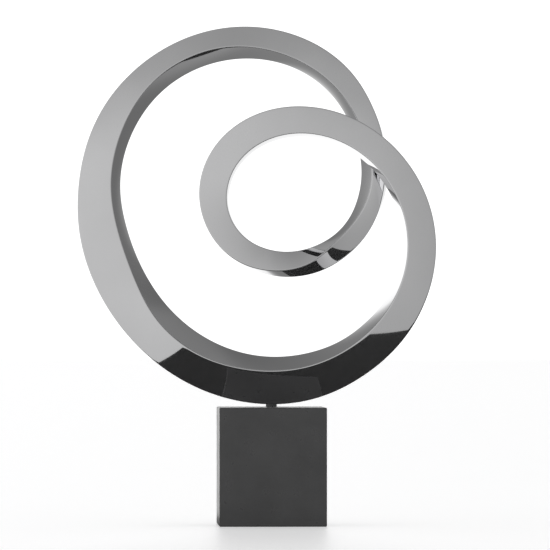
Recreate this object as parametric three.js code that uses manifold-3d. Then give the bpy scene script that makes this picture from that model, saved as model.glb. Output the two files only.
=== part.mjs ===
// An abstract sculpture for a table top. An endless bar of polished metal runs round twice, once
// wide and once narrow, and passes in front of itself on the right. It stands on a steel pin in a
// square plinth of dark stone.
//
// Millimetres, +Z up, +X to the right, +Y to the back. The origin is the centre of the plinth's
// underside.
import * as THREE from "three";
import { mergeVertices } from "three/addons/utils/BufferGeometryUtils.js";
import Module from "manifold-3d";

// The plinth is a square block with a fine chamfer all round.
const PLINTH_SIDE = 128;
const PLINTH_HEIGHT = 141.5;
const PLINTH_CHAMFER = 1.2;

// The pin stands on the plinth, and its upper end sits in a socket in the underside of the loop.
const PIN_RADIUS = 6.6;
const PIN_CHAMFER = 0.8;
const PIN_TOP = 161;
const FIT_GAP = 0.3;
const SOCKET_MOUTH = 120;
const SOCKET_CHAMFER = 0.4;
const ROUND_SEGMENTS = 32;

// The loop's centre line, seen from the front, is the path of a pen held by arms set end to end.
// Each arm makes a whole number of turns in a lap, clockwise where the number is positive, and
// starts at its own angle from +X. The two long arms draw the wide and the narrow turn.
const LOOP_CENTRE = new THREE.Vector2(7, 376);
const ARMS = [
  { turns: 2, length: 119.5, start: 106 },
  { turns: 1, length: 116.5, start: -27 },
  { turns: 3, length: 28, start: 55 },
  { turns: 4, length: 17, start: 54 },
  { turns: 5, length: 12, start: 5 },
  { turns: -1, length: 10, start: -132 },
  { turns: -2, length: 7, start: -125 },
];

// How far the centre line swings towards the front and the back, as waves along the lap.
const SWINGS = [
  { waves: 1, reach: 17.5, peak: 35 },
  { waves: 2, reach: 9.3, peak: -22 },
];
const SWING_SHIFT = -1.4;

// The bar's section at places along the lap, which starts where the bar crosses in front. The face
// looks to the front and the side looks inwards. Turn is how far the face has rolled outwards, in
// degrees. The back is wider than the face by the flare.
const STATIONS = [
  { at: 0.0, face: 32, side: 32, turn: 6, flare: 0 },
  { at: 0.08, face: 35, side: 37, turn: 7, flare: 0 },
  { at: 0.16, face: 39, side: 40, turn: 16, flare: 0 },
  { at: 0.24, face: 45, side: 42, turn: 24, flare: 0 },
  { at: 0.31, face: 42, side: 44, turn: 34, flare: 0 },
  { at: 0.38, face: 51, side: 42, turn: 17, flare: 0 },
  { at: 0.45, face: 38, side: 38, turn: 18, flare: 0 },
  { at: 0.52, face: 26, side: 34, turn: 30, flare: 0 },
  { at: 0.6, face: 29, side: 34, turn: 13, flare: 1 },
  { at: 0.67, face: 23, side: 31, turn: 5, flare: 12 },
  { at: 0.73, face: 15, side: 28, turn: 7, flare: 18 },
  { at: 0.785, face: 24, side: 16, turn: 15, flare: 3 },
  { at: 0.825, face: 23, side: 24, turn: 70, flare: 0 },
  { at: 0.865, face: 25, side: 29, turn: 95, flare: 0 },
  { at: 0.92, face: 32, side: 35, turn: 98, flare: 0 },
];

// In one lap the section makes a quarter turn, so each face runs on into the next one and the bar
// closes after four laps as a single face.
const QUARTER_TURN = 90;
const SECTION_CORNERS = 4;
// How far each station's section spreads along the lap, against the mean gap to its neighbours.
const STATION_SPREAD = 0.62;

// The faces are slightly crowned, and the edges between them are crisp.
const CROWN = 0.4;
const EDGE_CUT = 1.1;
const LOOP_STEPS = 216;

const radians = THREE.MathUtils.degToRad;
const fullTurn = 2 * Math.PI;

// Where the centre line is at a place along the lap, and the way it runs there.
function centreLine(at) {
  const point = new THREE.Vector3(LOOP_CENTRE.x, -SWING_SHIFT, LOOP_CENTRE.y);
  const travel = new THREE.Vector3();
  for (const { turns, length, start } of ARMS) {
    const angle = radians(start) - fullTurn * turns * at;
    point.x += length * Math.cos(angle);
    point.z += length * Math.sin(angle);
    travel.x += turns * length * Math.sin(angle);
    travel.z -= turns * length * Math.cos(angle);
  }
  for (const { waves, reach, peak } of SWINGS) {
    const angle = fullTurn * waves * at - radians(peak);
    point.y -= reach * Math.cos(angle);
    travel.y += waves * reach * Math.sin(angle);
  }
  return { point, travel: travel.normalize() };
}

// The mean gap from a station to its two neighbours.
function gapRound(index) {
  const last = STATIONS.length - 1;
  const before = index > 0 ? STATIONS[index - 1].at : STATIONS[last].at - 1;
  const after = index < last ? STATIONS[index + 1].at : STATIONS[0].at + 1;
  return (after - before) / 2;
}

// The section at a place along the lap, blended from the stations near it. A station of the lap
// before or after stands a quarter turn away, where its face and its side have changed places.
function sectionAt(at) {
  const sum = { face: 0, side: 0, turn: 0, flare: 0, weight: 0 };
  for (const lap of [-1, 0, 1]) {
    STATIONS.forEach((station, index) => {
      const away = (at - station.at - lap) / (gapRound(index) * STATION_SPREAD);
      const weight = Math.exp(-away * away);
      sum.face += weight * (lap === 0 ? station.face : station.side);
      sum.side += weight * (lap === 0 ? station.side : station.face);
      sum.turn += weight * (station.turn + lap * QUARTER_TURN);
      sum.flare += weight * station.flare;
      sum.weight += weight;
    });
  }
  return {
    face: sum.face / sum.weight,
    side: sum.side / sum.weight,
    turn: radians(sum.turn / sum.weight),
    flare: sum.flare / sum.weight,
  };
}

// The section's corners as x outwards and y to the front: front inner, front outer, back outer,
// back inner.
function sectionCorners({ face, side, turn, flare }) {
  const back = face + flare;
  const middle = new THREE.Vector2();
  return [
    new THREE.Vector2(-face / 2, side / 2),
    new THREE.Vector2(face / 2, side / 2),
    new THREE.Vector2(back / 2, -side / 2),
    new THREE.Vector2(-back / 2, -side / 2),
  ].map((corner) => corner.rotateAround(middle, -turn));
}

// The section's outline: on each side the two ends, cut back from the corners, and the crown.
function sectionOutline(section) {
  const corners = sectionCorners(section);
  return corners.flatMap((corner, index) => {
    const next = corners[(index + 1) % SECTION_CORNERS];
    const along = next.clone().sub(corner).normalize();
    const outwards = new THREE.Vector2(-along.y, along.x);
    const crown = corner.clone().add(next).multiplyScalar(0.5);
    return [
      corner.clone().addScaledVector(along, EDGE_CUT),
      crown.addScaledVector(outwards, CROWN),
      next.clone().addScaledVector(along, -EDGE_CUT),
    ];
  });
}

// The outline's points in their place round the centre line.
function placedOutline(at) {
  const { point, travel } = centreLine(at);
  const outwards = new THREE.Vector3(-travel.z, 0, travel.x).normalize();
  const forwards = travel.clone().cross(outwards);
  return sectionOutline(sectionAt(at)).map(({ x, y }) =>
    point.clone().addScaledVector(outwards, x).addScaledVector(forwards, y),
  );
}

// The bar as one closed skin. The last ring joins the first one a quarter of its points further on.
function loopSkin() {
  const rings = Array.from({ length: LOOP_STEPS }, (_, step) => placedOutline(step / LOOP_STEPS));
  const around = rings[0].length;
  const quarter = around / SECTION_CORNERS;
  const index = [];
  for (let step = 0; step < LOOP_STEPS; step += 1) {
    const last = step === LOOP_STEPS - 1;
    const here = step * around;
    const ahead = last ? 0 : here + around;
    const shift = last ? quarter : 0;
    for (let side = 0; side < around; side += 1) {
      const next = (side + 1) % around;
      const a = here + side;
      const b = here + next;
      const c = ahead + ((next + shift) % around);
      const d = ahead + ((side + shift) % around);
      index.push(a, d, c, a, c, b);
    }
  }
  const skin = new THREE.BufferGeometry().setFromPoints(rings.flat());
  skin.setIndex(index);
  return skin;
}

// A solid turned round the Z axis, with its two rims cut back by the chamfer.
function turnedRod(radius, low, high, chamfer) {
  const profile = [
    new THREE.Vector2(0, low),
    new THREE.Vector2(radius - chamfer, low),
    new THREE.Vector2(radius, low + chamfer),
    new THREE.Vector2(radius, high - chamfer),
    new THREE.Vector2(radius - chamfer, high),
    new THREE.Vector2(0, high),
  ];
  return new THREE.LatheGeometry(profile, ROUND_SEGMENTS).rotateX(Math.PI / 2);
}

// A square block on the ground, with every edge chamfered.
function chamferedBlock(side, height, chamfer) {
  const half = side / 2;
  const outline = new THREE.Shape([
    new THREE.Vector2(-half + chamfer, -half),
    new THREE.Vector2(half - chamfer, -half),
    new THREE.Vector2(half, -half + chamfer),
    new THREE.Vector2(half, half - chamfer),
    new THREE.Vector2(half - chamfer, half),
    new THREE.Vector2(-half + chamfer, half),
    new THREE.Vector2(-half, half - chamfer),
    new THREE.Vector2(-half, -half + chamfer),
  ]);
  return new THREE.ExtrudeGeometry(outline, {
    depth: height - 2 * chamfer,
    bevelThickness: chamfer,
    bevelSize: chamfer,
    bevelOffset: -chamfer,
    bevelSegments: 1,
  }).translate(0, 0, chamfer);
}

const wasm = await Module();
wasm.setup();

// A geometry as a solid that can be cut.
function solidFrom(geometry) {
  const bare = geometry.clone();
  bare.deleteAttribute("normal");
  bare.deleteAttribute("uv");
  const merged = mergeVertices(bare);
  const mesh = new wasm.Mesh({
    numProp: 3,
    vertProperties: merged.attributes.position.array,
    triVerts: new Uint32Array(merged.index.array),
  });
  return new wasm.Manifold(mesh);
}

// A solid as a geometry again.
function geometryFrom(solid) {
  const { vertProperties, triVerts } = solid.getMesh();
  const geometry = new THREE.BufferGeometry();
  geometry.setAttribute("position", new THREE.BufferAttribute(vertProperties, 3));
  geometry.setIndex(new THREE.BufferAttribute(triVerts, 1));
  return geometry;
}

// The loop with the socket for the pin in its underside.
function loopGeometry() {
  const socket = turnedRod(PIN_RADIUS + FIT_GAP, SOCKET_MOUTH, PIN_TOP + FIT_GAP, SOCKET_CHAMFER);
  return geometryFrom(solidFrom(loopSkin()).subtract(solidFrom(socket)));
}

const polishedMetal = new THREE.MeshStandardMaterial({ color: 0xbdbdbd, roughness: 0.05, metalness: 1 });
const turnedSteel = new THREE.MeshStandardMaterial({ color: 0x707070, roughness: 0.3, metalness: 1 });
const honedStone = new THREE.MeshStandardMaterial({ color: 0x3c3c3d, roughness: 0.6, metalness: 0 });

function named(name, geometry, material) {
  const mesh = new THREE.Mesh(geometry, material);
  mesh.name = name;
  return mesh;
}

const pinFoot = PLINTH_HEIGHT + FIT_GAP;
const sculpture = new THREE.Group();
sculpture.add(
  named("loop", loopGeometry(), polishedMetal),
  named("pin", turnedRod(PIN_RADIUS, pinFoot, PIN_TOP, PIN_CHAMFER), turnedSteel),
  named("plinth", chamferedBlock(PLINTH_SIDE, PLINTH_HEIGHT, PLINTH_CHAMFER), honedStone),
);

export default sculpture;
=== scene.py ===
"""An endless loop of mirror-polished metal on a square stone plinth, dressed round its CAD frame."""

import logging
import math
from collections.abc import Sequence
from dataclasses import dataclass, field
from enum import Enum

import bmesh
import bpy
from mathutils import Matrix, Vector


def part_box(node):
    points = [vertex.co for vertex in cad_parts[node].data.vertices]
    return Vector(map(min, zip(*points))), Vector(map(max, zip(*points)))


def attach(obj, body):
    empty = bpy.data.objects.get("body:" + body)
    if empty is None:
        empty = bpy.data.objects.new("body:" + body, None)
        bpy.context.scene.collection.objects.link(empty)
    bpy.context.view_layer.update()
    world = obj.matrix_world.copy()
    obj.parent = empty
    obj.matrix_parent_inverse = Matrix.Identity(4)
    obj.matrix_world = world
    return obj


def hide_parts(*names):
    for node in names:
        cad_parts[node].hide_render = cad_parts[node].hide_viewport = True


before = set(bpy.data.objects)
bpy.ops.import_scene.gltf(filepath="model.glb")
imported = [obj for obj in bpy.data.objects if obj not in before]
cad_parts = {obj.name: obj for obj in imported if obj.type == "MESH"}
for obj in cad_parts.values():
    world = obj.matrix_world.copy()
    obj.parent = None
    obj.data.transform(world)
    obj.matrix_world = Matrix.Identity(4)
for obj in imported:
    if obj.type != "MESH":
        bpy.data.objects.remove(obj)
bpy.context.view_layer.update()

LOG = logging.getLogger("sculpture")
MM = 0.001
BODY = "root"
FULL_TURN = 2 * math.pi


class Node(Enum):
    """The CAD nodes that the pieces stand for."""

    LOOP = "loop"
    PIN = "pin"
    PLINTH = "plinth"


class Slot(Enum):
    """The record's material slots."""

    METAL = "polished_metal"
    STEEL = "pin_steel"
    STONE = "plinth_stone"


# ---------------------------------------------------------------------------------------------
# Shader tools
# ---------------------------------------------------------------------------------------------


@dataclass(frozen=True)
class Mottle:
    """Cloudy variation that every finish uses at its own scale, as one shared node group."""

    name: str = "mottle"

    def group(self) -> bpy.types.NodeTree:
        """Build the group once, with a scale, a contrast and two ends, and a value to give out.

        Returns:
            The shader node group.
        """
        found = bpy.data.node_groups.get(self.name)
        if found:
            return found
        tree = bpy.data.node_groups.new(self.name, "ShaderNodeTree")
        interface = tree.interface
        for label, value in (("Scale", 10.0), ("Detail", 4.0), ("Low", 0.0), ("High", 1.0)):
            socket = interface.new_socket(label, in_out="INPUT", socket_type="NodeSocketFloat")
            socket.default_value = value
        interface.new_socket("Value", in_out="OUTPUT", socket_type="NodeSocketFloat")
        entry = tree.nodes.new("NodeGroupInput")
        leave = tree.nodes.new("NodeGroupOutput")
        place = tree.nodes.new("ShaderNodeTexCoord")
        noise = tree.nodes.new("ShaderNodeTexNoise")
        spread = tree.nodes.new("ShaderNodeMapRange")
        spread.inputs["From Min"].default_value = 0.3
        spread.inputs["From Max"].default_value = 0.7
        links = tree.links
        links.new(place.outputs["Object"], noise.inputs["Vector"])
        links.new(entry.outputs["Scale"], noise.inputs["Scale"])
        links.new(entry.outputs["Detail"], noise.inputs["Detail"])
        links.new(noise.outputs["Fac"], spread.inputs["Value"])
        links.new(entry.outputs["Low"], spread.inputs["To Min"])
        links.new(entry.outputs["High"], spread.inputs["To Max"])
        links.new(spread.outputs["Result"], leave.inputs["Value"])
        return tree

    def place(
        self, tree: bpy.types.NodeTree, scale: float, detail: float, low: float, high: float
    ) -> bpy.types.NodeSocket:
        """Put the group in a material.

        Args:
            tree: The material's node tree.
            scale: How many clouds there are in a metre.
            detail: How many finer octaves the clouds have.
            low: The value given out in the darkest clouds.
            high: The value given out in the lightest clouds.

        Returns:
            The socket that gives out the value.
        """
        node = tree.nodes.new("ShaderNodeGroup")
        node.node_tree = self.group()
        node.inputs["Scale"].default_value = scale
        node.inputs["Detail"].default_value = detail
        node.inputs["Low"].default_value = low
        node.inputs["High"].default_value = high
        return node.outputs["Value"]


MOTTLE = Mottle()


def principled(name: str) -> tuple[bpy.types.Material, bpy.types.Node]:
    """Make a material with a Principled shader.

    Args:
        name: The material's name.

    Returns:
        The material and its shader node.
    """
    material = bpy.data.materials.new(name)
    material.use_nodes = True
    return material, material.node_tree.nodes["Principled BSDF"]


def colour_between(
    tree: bpy.types.NodeTree, amount: bpy.types.NodeSocket, dark: float, light: float
) -> bpy.types.NodeSocket:
    """Mix two greys by an amount.

    Args:
        tree: The material's node tree.
        amount: The socket that says how much of the light grey there is.
        dark: The dark grey.
        light: The light grey.

    Returns:
        The socket of the mixed colour.
    """
    mix = tree.nodes.new("ShaderNodeMix")
    mix.data_type = "RGBA"
    mix.inputs["A"].default_value = (dark, dark, dark * 1.01, 1.0)
    mix.inputs["B"].default_value = (light, light, light * 1.01, 1.0)
    tree.links.new(amount, mix.inputs["Factor"])
    return mix.outputs["Result"]


def bumped(
    tree: bpy.types.NodeTree, shader: bpy.types.Node, height: bpy.types.NodeSocket, strength: float, depth: float
) -> None:
    """Lead a height into a shader's normal.

    Args:
        tree: The material's node tree.
        shader: The Principled shader.
        height: The socket that gives the height.
        strength: The bump's strength.
        depth: The bump's depth in metres.
    """
    bump = tree.nodes.new("ShaderNodeBump")
    bump.inputs["Strength"].default_value = strength
    bump.inputs["Distance"].default_value = depth
    tree.links.new(height, bump.inputs["Height"])
    tree.links.new(bump.outputs["Normal"], shader.inputs["Normal"])


@dataclass(frozen=True)
class MirrorPolish:
    """Polished metal: a near mirror with the faint haze that buffing leaves."""

    dark: float = 0.80
    light: float = 0.84
    sharpest: float = 0.025
    haziest: float = 0.055
    haze_scale: float = 14.0
    wave_scale: float = 26.0
    wave_depth: float = 0.00012

    def material(self) -> bpy.types.Material:
        """Build the material."""
        material, shader = principled("mirror_polished_metal")
        tree = material.node_tree
        shader.inputs["Metallic"].default_value = 1.0
        cloud = MOTTLE.place(tree, self.haze_scale, 3.0, 0.0, 1.0)
        tree.links.new(colour_between(tree, cloud, self.dark, self.light), shader.inputs["Base Color"])
        haze = MOTTLE.place(tree, self.haze_scale * 2, 4.0, self.sharpest, self.haziest)
        tree.links.new(haze, shader.inputs["Roughness"])
        wave = MOTTLE.place(tree, self.wave_scale, 0.0, 0.0, 1.0)
        bumped(tree, shader, wave, 0.12, self.wave_depth)
        return material


@dataclass(frozen=True)
class TurnedSteel:
    """Steel turned on a lathe, with fine rings round it."""

    dark: float = 0.22
    light: float = 0.46
    ring_scale: float = 900.0
    ring_depth: float = 0.00004

    def material(self) -> bpy.types.Material:
        """Build the material."""
        material, shader = principled("turned_steel")
        tree = material.node_tree
        shader.inputs["Metallic"].default_value = 1.0
        cloud = MOTTLE.place(tree, 300.0, 3.0, 0.0, 1.0)
        tree.links.new(colour_between(tree, cloud, self.dark, self.light), shader.inputs["Base Color"])
        tree.links.new(MOTTLE.place(tree, 500.0, 2.0, 0.16, 0.3), shader.inputs["Roughness"])
        place = tree.nodes.new("ShaderNodeTexCoord")
        rings = tree.nodes.new("ShaderNodeTexWave")
        rings.bands_direction = "Z"
        rings.inputs["Scale"].default_value = self.ring_scale
        tree.links.new(place.outputs["Object"], rings.inputs["Vector"])
        bumped(tree, shader, rings.outputs["Fac"], 0.3, self.ring_depth)
        return material


@dataclass(frozen=True)
class HonedStone:
    """Dark stone, ground to a dull sheen, with a faint grain and paler specks."""

    dark: float = 0.040
    light: float = 0.056
    cloud_scale: float = 22.0
    grain_scale: float = 700.0
    grain_depth: float = 0.0001

    def material(self) -> bpy.types.Material:
        """Build the material."""
        material, shader = principled("honed_dark_stone")
        tree = material.node_tree
        cloud = MOTTLE.place(tree, self.cloud_scale, 6.0, 0.0, 0.7)
        grain = MOTTLE.place(tree, self.grain_scale, 3.0, 0.0, 0.45)
        both = tree.nodes.new("ShaderNodeMath")
        tree.links.new(cloud, both.inputs[0])
        tree.links.new(grain, both.inputs[1])
        base = colour_between(tree, both.outputs["Value"], self.dark, self.light)
        tree.links.new(base, shader.inputs["Base Color"])
        tree.links.new(MOTTLE.place(tree, self.cloud_scale * 3, 4.0, 0.26, 0.36), shader.inputs["Roughness"])
        bumped(tree, shader, grain, 0.25, self.grain_depth)
        return material


@dataclass(frozen=True)
class PaleFloor:
    """The studio's plain pale floor, with a soft sheen."""

    grey: float = 0.86
    glow: float = 0.36

    def material(self) -> bpy.types.Material:
        """Build the material."""
        material, shader = principled("pale_floor")
        tree = material.node_tree
        shade = MOTTLE.place(tree, 3.0, 2.0, 0.0, 1.0)
        tree.links.new(colour_between(tree, shade, self.grey, self.grey + 0.02), shader.inputs["Base Color"])
        shader.inputs["Roughness"].default_value = 0.35
        shader.inputs["Emission Color"].default_value = (1.0, 1.0, 1.0, 1.0)
        shader.inputs["Emission Strength"].default_value = self.glow
        return material


@dataclass(frozen=True)
class DarkTable:
    """The dark table top that only the polished metal mirrors."""

    grey: float = 0.012

    def material(self) -> bpy.types.Material:
        """Build the material."""
        material, shader = principled("dark_table")
        shader.inputs["Base Color"].default_value = (self.grey, self.grey, self.grey, 1.0)
        shader.inputs["Roughness"].default_value = 0.6
        return material


# ---------------------------------------------------------------------------------------------
# Pieces
# ---------------------------------------------------------------------------------------------


def finished(
    name: str, mesh: bmesh.types.BMesh, material: bpy.types.Material, node: Node
) -> bpy.types.Object:
    """Turn a bmesh into a smooth-shaded piece that stands for a CAD node.

    Args:
        name: The piece's name.
        mesh: The bmesh, which is freed.
        material: The piece's finish.
        node: The CAD node that the piece replaces.

    Returns:
        The piece.
    """
    for face in mesh.faces:
        face.smooth = True
    data = bpy.data.meshes.new(name)
    mesh.to_mesh(data)
    mesh.free()
    data.materials.append(material)
    piece = bpy.data.objects.new(name, data)
    bpy.context.scene.collection.objects.link(piece)
    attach(piece, BODY)
    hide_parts(node.value)
    LOG.info("%s stands for %s with %d faces", name, node.value, len(data.polygons))
    return piece


@dataclass(frozen=True)
class Arm:
    """One turning arm of the loop's centre line, in millimetres and degrees."""

    turns: int
    length: float
    start: float


@dataclass(frozen=True)
class Swing:
    """One wave of the centre line towards the front and the back, in millimetres and degrees."""

    waves: int
    reach: float
    peak: float


@dataclass(frozen=True)
class Section:
    """The bar's section: its face, its side, its outward roll in degrees and the back's flare."""

    face: float
    side: float
    turn: float
    flare: float


@dataclass(frozen=True)
class Station:
    """A section at a place along the lap."""

    at: float
    section: Section


@dataclass
class EndlessLoop:
    """The polished bar that runs round twice and rolls a quarter turn in each lap."""

    centre: tuple[float, float] = (7.0, 376.0)
    swing_shift: float = -1.4
    spread: float = 0.62
    quarter_turn: float = 90.0
    crown: float = 0.3
    edge_radius: float = 1.3
    steps: int = 1200
    face_segments: int = 8
    corner_segments: int = 4
    weld: float = 0.00002
    finish: MirrorPolish = field(default_factory=MirrorPolish)
    arms: tuple[Arm, ...] = (
        Arm(2, 119.5, 106),
        Arm(1, 116.5, -27),
        Arm(3, 28, 55),
        Arm(4, 17, 54),
        Arm(5, 12, 5),
        Arm(-1, 10, -132),
        Arm(-2, 7, -125),
    )
    swings: tuple[Swing, ...] = (Swing(1, 17.5, 35), Swing(2, 9.3, -22))
    stations: tuple[Station, ...] = (
        Station(0.0, Section(32, 32, 6, 0)),
        Station(0.08, Section(35, 37, 7, 0)),
        Station(0.16, Section(39, 40, 16, 0)),
        Station(0.24, Section(45, 42, 24, 0)),
        Station(0.31, Section(42, 44, 34, 0)),
        Station(0.38, Section(51, 42, 17, 0)),
        Station(0.45, Section(38, 38, 18, 0)),
        Station(0.52, Section(26, 34, 30, 0)),
        Station(0.6, Section(29, 34, 13, 1)),
        Station(0.67, Section(23, 31, 5, 12)),
        Station(0.73, Section(15, 28, 7, 18)),
        Station(0.785, Section(24, 16, 15, 3)),
        Station(0.825, Section(23, 24, 70, 0)),
        Station(0.865, Section(25, 29, 95, 0)),
        Station(0.92, Section(32, 35, 98, 0)),
    )

    def centre_line(self, at: float) -> tuple[Vector, Vector]:
        """Find the centre line's place and the way it runs.

        Args:
            at: The share of the lap, from 0 to 1.

        Returns:
            The point in millimetres and the unit direction of travel.
        """
        point = Vector((self.centre[0], -self.swing_shift, self.centre[1]))
        travel = Vector()
        for arm in self.arms:
            angle = math.radians(arm.start) - FULL_TURN * arm.turns * at
            point += arm.length * Vector((math.cos(angle), 0, math.sin(angle)))
            travel += arm.turns * arm.length * Vector((math.sin(angle), 0, -math.cos(angle)))
        for swing in self.swings:
            angle = FULL_TURN * swing.waves * at - math.radians(swing.peak)
            point.y -= swing.reach * math.cos(angle)
            travel.y += swing.waves * swing.reach * math.sin(angle)
        return point, travel.normalized()

    def gap_round(self, index: int) -> float:
        """Give the mean gap from a station to its two neighbours."""
        last = len(self.stations) - 1
        before = self.stations[index - 1].at if index else self.stations[last].at - 1
        after = self.stations[index + 1].at if index < last else self.stations[0].at + 1
        return (after - before) / 2

    def section_at(self, at: float) -> Section:
        """Blend the section from the stations near a place, those of the next laps among them.

        Args:
            at: The share of the lap, from 0 to 1.

        Returns:
            The section there.
        """
        face = side = turn = flare = total = 0.0
        for lap in (-1, 0, 1):
            for index, station in enumerate(self.stations):
                away = (at - station.at - lap) / (self.gap_round(index) * self.spread)
                weight = math.exp(-away * away)
                near = station.section
                face += weight * (near.side if lap else near.face)
                side += weight * (near.face if lap else near.side)
                turn += weight * (near.turn + lap * self.quarter_turn)
                flare += weight * near.flare
                total += weight
        return Section(face / total, side / total, turn / total, flare / total)

    def corners(self, section: Section) -> list[Vector]:
        """Place the section's corners: front inner, front outer, back outer, back inner.

        Args:
            section: The section.

        Returns:
            Four points, x outwards and y to the front, in millimetres.
        """
        half_face = section.face / 2
        half_back = half_face + section.flare / 2
        half_side = section.side / 2
        roll = math.radians(section.turn)
        square = ((-half_face, half_side), (half_face, half_side), (half_back, -half_side), (-half_back, -half_side))
        return [
            Vector((x * math.cos(roll) + y * math.sin(roll), y * math.cos(roll) - x * math.sin(roll)))
            for x, y in square
        ]

    def corner_arc(self, corners: list[Vector], index: int) -> list[Vector]:
        """Round one corner of the section.

        Args:
            corners: The section's corners.
            index: Which corner.

        Returns:
            The points of the small arc, both ends among them.
        """
        here = corners[index % len(corners)]
        before = (here - corners[index - 1]).normalized()
        after = (corners[(index + 1) % len(corners)] - here).normalized()
        start = here - before * self.edge_radius
        end = here + after * self.edge_radius
        shares = [step / self.corner_segments for step in range(self.corner_segments + 1)]
        return [(1 - s) ** 2 * start + 2 * s * (1 - s) * here + s**2 * end for s in shares]

    def outline(self, section: Section) -> list[Vector]:
        """Draw the section, from the middle of one corner round to the next, four times.

        Args:
            section: The section.

        Returns:
            The closed outline's points, with the first one repeated at the end.
        """
        corners = self.corners(section)
        half = self.corner_segments // 2
        points: list[Vector] = []
        for index in range(len(corners)):
            leaving = self.corner_arc(corners, index)
            arriving = self.corner_arc(corners, (index + 1) % len(corners))
            start, end = leaving[-1], arriving[0]
            along = (end - start).normalized()
            outwards = Vector((-along.y, along.x))
            points += leaving[half:-1]
            for step in range(self.face_segments):
                share = (1 - math.cos(math.pi * step / self.face_segments)) / 2
                bulge = 4 * share * (1 - share) * self.crown
                points.append(start.lerp(end, share) + outwards * bulge)
            points += arriving[:half]
        return [*points, points[0]]

    def ring(self, at: float) -> list[Vector]:
        """Place the outline round the centre line.

        Args:
            at: The share of the lap, from 0 to 1.

        Returns:
            The ring's points in metres.
        """
        point, travel = self.centre_line(at)
        outwards = Vector((-travel.z, 0, travel.x)).normalized()
        forwards = travel.cross(outwards)
        return [(point + outwards * p.x + forwards * p.y) * MM for p in self.outline(self.section_at(at))]

    def mesh(self) -> bmesh.types.BMesh:
        """Wrap a grid round the centre line and weld its two seams."""
        rings = [self.ring(step / self.steps) for step in range(self.steps + 1)]
        around = len(rings[0]) - 1
        mesh = bmesh.new()
        bmesh.ops.create_grid(mesh, x_segments=self.steps, y_segments=around, size=1.0)
        for vertex in mesh.verts:
            step = round((vertex.co.x + 1) / 2 * self.steps)
            place = round((vertex.co.y + 1) / 2 * around)
            vertex.co = rings[step][place]
        bmesh.ops.remove_doubles(mesh, verts=mesh.verts, dist=self.weld)
        bmesh.ops.recalc_face_normals(mesh, faces=mesh.faces)
        return mesh

    def build(self) -> bpy.types.Object:
        """Make the loop's piece."""
        return finished("endless_loop", self.mesh(), self.finish.material(), Node.LOOP)


@dataclass
class StonePlinth:
    """The square block of dark stone, with softened edges."""

    edge: float = 1.2 * MM
    edge_segments: int = 3
    finish: HonedStone = field(default_factory=HonedStone)

    def build(self) -> bpy.types.Object:
        """Make the plinth's piece in the CAD node's box."""
        low, high = (Vector(corner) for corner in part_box(Node.PLINTH.value))
        mesh = bmesh.new()
        bmesh.ops.create_cube(mesh, size=1.0)
        bmesh.ops.scale(mesh, vec=high - low, verts=mesh.verts)
        bmesh.ops.translate(mesh, vec=(low + high) / 2, verts=mesh.verts)
        bmesh.ops.bevel(
            mesh,
            geom=mesh.edges,
            offset=self.edge,
            segments=self.edge_segments,
            affect="EDGES",
            profile=0.5,
            material=-1,
            clamp_overlap=True,
        )
        bmesh.ops.recalc_face_normals(mesh, faces=mesh.faces)
        piece = finished("stone_plinth", mesh, self.finish.material(), Node.PLINTH)
        weighted = piece.modifiers.new("flat faces", "WEIGHTED_NORMAL")
        weighted.keep_sharp = True
        return piece


@dataclass
class SteelPin:
    """The short turned pin between the plinth and the loop."""

    edge: float = 0.8 * MM
    sides: int = 64
    finish: TurnedSteel = field(default_factory=TurnedSteel)

    def build(self) -> bpy.types.Object:
        """Make the pin's piece in the CAD node's box."""
        low, high = (Vector(corner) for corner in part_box(Node.PIN.value))
        size = high - low
        mesh = bmesh.new()
        bmesh.ops.create_cone(
            mesh,
            cap_ends=True,
            segments=self.sides,
            radius1=size.x / 2,
            radius2=size.x / 2,
            depth=size.z,
        )
        bmesh.ops.translate(mesh, vec=(low + high) / 2, verts=mesh.verts)
        rims = [edge for edge in mesh.edges if any(len(face.verts) > 4 for face in edge.link_faces)]
        bmesh.ops.bevel(
            mesh, geom=rims, offset=self.edge, segments=2, affect="EDGES", profile=0.5, material=-1
        )
        return finished("steel_pin", mesh, self.finish.material(), Node.PIN)


# ---------------------------------------------------------------------------------------------
# Studio
# ---------------------------------------------------------------------------------------------


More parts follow.
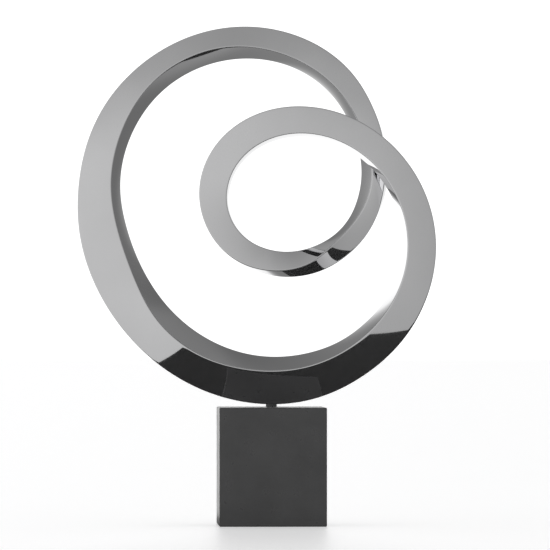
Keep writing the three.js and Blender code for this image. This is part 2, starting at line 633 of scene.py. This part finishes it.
@dataclass
class Studio:
    """The pale floor, the room that the metal mirrors, the soft lights and the camera."""

    floor_reach: float = 40.0
    table_corner: tuple[float, float] = (-0.06, -0.5)
    table_right: float = 1.3
    table_back: float = 0.34
    table_cut: float = -0.54
    table_drop: float = -0.0005
    distance: float = 7.2
    swing: float = 2.1
    eye_height: float = 0.235
    aim: tuple[float, float, float] = (0.0044, 0.0, 0.3)
    view_width: float = 0.66
    sensor: float = 36.0

    def sheet(self, name: str, corners: Sequence[tuple[float, float]], height: float) -> bpy.types.Object:
        """Lay a level sheet.

        Args:
            name: The object's name.
            corners: Its corners as x and y, anticlockwise from above.
            height: Its height.

        Returns:
            The sheet.
        """
        mesh = bmesh.new()
        bmesh.ops.contextual_create(mesh, geom=[mesh.verts.new((x, y, height)) for x, y in corners])
        bmesh.ops.recalc_face_normals(mesh, faces=mesh.faces)
        data = bpy.data.meshes.new(name)
        mesh.to_mesh(data)
        mesh.free()
        sheet = bpy.data.objects.new(name, data)
        bpy.context.scene.collection.objects.link(sheet)
        return sheet

    def ground(self) -> None:
        """Lay the pale floor, and the dark table that only mirrored rays meet."""
        reach = self.floor_reach
        floor = self.sheet("floor", ((-reach, -reach), (reach, -reach), (reach, reach), (-reach, reach)), 0.0)
        floor.data.materials.append(PaleFloor().material())
        floor.visible_glossy = False
        corners = (
            self.table_corner,
            (self.table_right, self.table_corner[1]),
            (self.table_right, self.table_back),
            (self.table_cut, self.table_back),
        )
        table = self.sheet("mirrored_table", corners, self.table_drop)
        table.data.materials.append(DarkTable().material())
        table.visible_camera = False
        table.visible_diffuse = False
        table.visible_shadow = False

    def ramp(
        self, tree: bpy.types.NodeTree, value: bpy.types.NodeSocket, stops: tuple[tuple[float, float], ...]
    ) -> bpy.types.NodeSocket:
        """Shade a direction's share from -1 to 1 by stops of grey.

        Args:
            tree: The world's node tree.
            value: One part of the direction.
            stops: Pairs of a share and its brightness.

        Returns:
            The brightness.
        """
        curve = tree.nodes.new("ShaderNodeFloatCurve")
        points = curve.mapping.curves[0].points
        curve.mapping.use_clip = False
        places = [((share + 1) / 2, level) for share, level in stops]
        for spare, (place, level) in zip(points, (places[0], places[-1])):
            spare.location = (place, level)
        for place, level in places[1:-1]:
            points.new(place, level)
        for point in points:
            point.handle_type = "AUTO_CLAMPED"
        curve.mapping.update()
        unit = tree.nodes.new("ShaderNodeMapRange")
        unit.inputs["From Min"].default_value = -1.0
        unit.inputs["From Max"].default_value = 1.0
        tree.links.new(value, unit.inputs["Value"])
        tree.links.new(unit.outputs["Result"], curve.inputs["Value"])
        return curve.outputs["Value"]

    def room(self) -> None:
        """Light the world: a white backdrop to look at, and a room of greys to mirror."""
        world = bpy.data.worlds.new("room")
        bpy.context.scene.world = world
        world.use_nodes = True
        tree = world.node_tree
        tree.nodes.clear()
        place = tree.nodes.new("ShaderNodeTexCoord")
        split = tree.nodes.new("ShaderNodeSeparateXYZ")
        tree.links.new(place.outputs["Generated"], split.inputs["Vector"])
        depth = self.ramp(
            tree,
            split.outputs["Y"],
            ((-1.0, 1.0), (-0.2, 1.0), (0.45, 0.78), (0.65, 0.47), (0.8, 0.45), (0.9, 1.9), (1.0, 2.2)),
        )
        height = self.ramp(
            tree, split.outputs["Z"], ((-1.0, 0.9), (-0.2, 1.0), (0.15, 1.0), (0.5, 0.84), (0.8, 0.67), (1.0, 0.62))
        )
        sides = self.ramp(
            tree, split.outputs["X"], ((-1.0, 0.68), (-0.6, 0.61), (-0.25, 0.57), (0.1, 0.49), (0.5, 0.39), (1.0, 0.3))
        )
        first = tree.nodes.new("ShaderNodeMath")
        first.operation = "MULTIPLY"
        second = tree.nodes.new("ShaderNodeMath")
        second.operation = "MULTIPLY"
        tree.links.new(depth, first.inputs[0])
        tree.links.new(height, first.inputs[1])
        tree.links.new(first.outputs["Value"], second.inputs[0])
        tree.links.new(sides, second.inputs[1])
        mirrored = tree.nodes.new("ShaderNodeBackground")
        tree.links.new(second.outputs["Value"], mirrored.inputs["Color"])
        seen = tree.nodes.new("ShaderNodeBackground")
        softbox = self.ramp(
            tree, split.outputs["Z"], ((-1.0, 1.0), (-0.1, 1.25), (0.15, 1.3), (0.4, 0.85), (0.7, 0.4), (1.0, 0.3))
        )
        tree.links.new(softbox, seen.inputs["Color"])
        light_path = tree.nodes.new("ShaderNodeLightPath")
        mix = tree.nodes.new("ShaderNodeMixShader")
        leave = tree.nodes.new("ShaderNodeOutputWorld")
        tree.links.new(light_path.outputs["Is Glossy Ray"], mix.inputs["Fac"])
        tree.links.new(seen.outputs["Background"], mix.inputs[1])
        tree.links.new(mirrored.outputs["Background"], mix.inputs[2])
        tree.links.new(mix.outputs["Shader"], leave.inputs["Surface"])

    def camera(self) -> None:
        """Stand the camera far off at table height, a little to the left of the front."""
        turn = math.radians(self.swing)
        eye = Vector((-self.distance * math.sin(turn), -self.distance * math.cos(turn), self.eye_height))
        aim = Vector(self.aim)
        lens = bpy.data.cameras.new("camera")
        lens.sensor_width = self.sensor
        lens.lens = self.sensor * (aim - eye).length / self.view_width
        lens.clip_end = 200.0
        viewer = bpy.data.objects.new("camera", lens)
        viewer.location = eye
        viewer.rotation_euler = (aim - eye).to_track_quat("-Z", "Y").to_euler()
        bpy.context.scene.collection.objects.link(viewer)
        bpy.context.scene.camera = viewer

    def build(self) -> None:
        """Set the studio up."""
        self.ground()
        self.room()
        self.camera()
        bpy.context.scene.view_settings.view_transform = "Standard"


def main() -> None:
    """Build the sculpture's pieces, then the studio, and report each piece."""
    logging.basicConfig(level=logging.INFO, format="%(name)s: %(message)s")
    for maker in (EndlessLoop(), SteelPin(), StonePlinth()):
        maker.build()
    Studio().build()


if __name__ == "__main__":
    main()
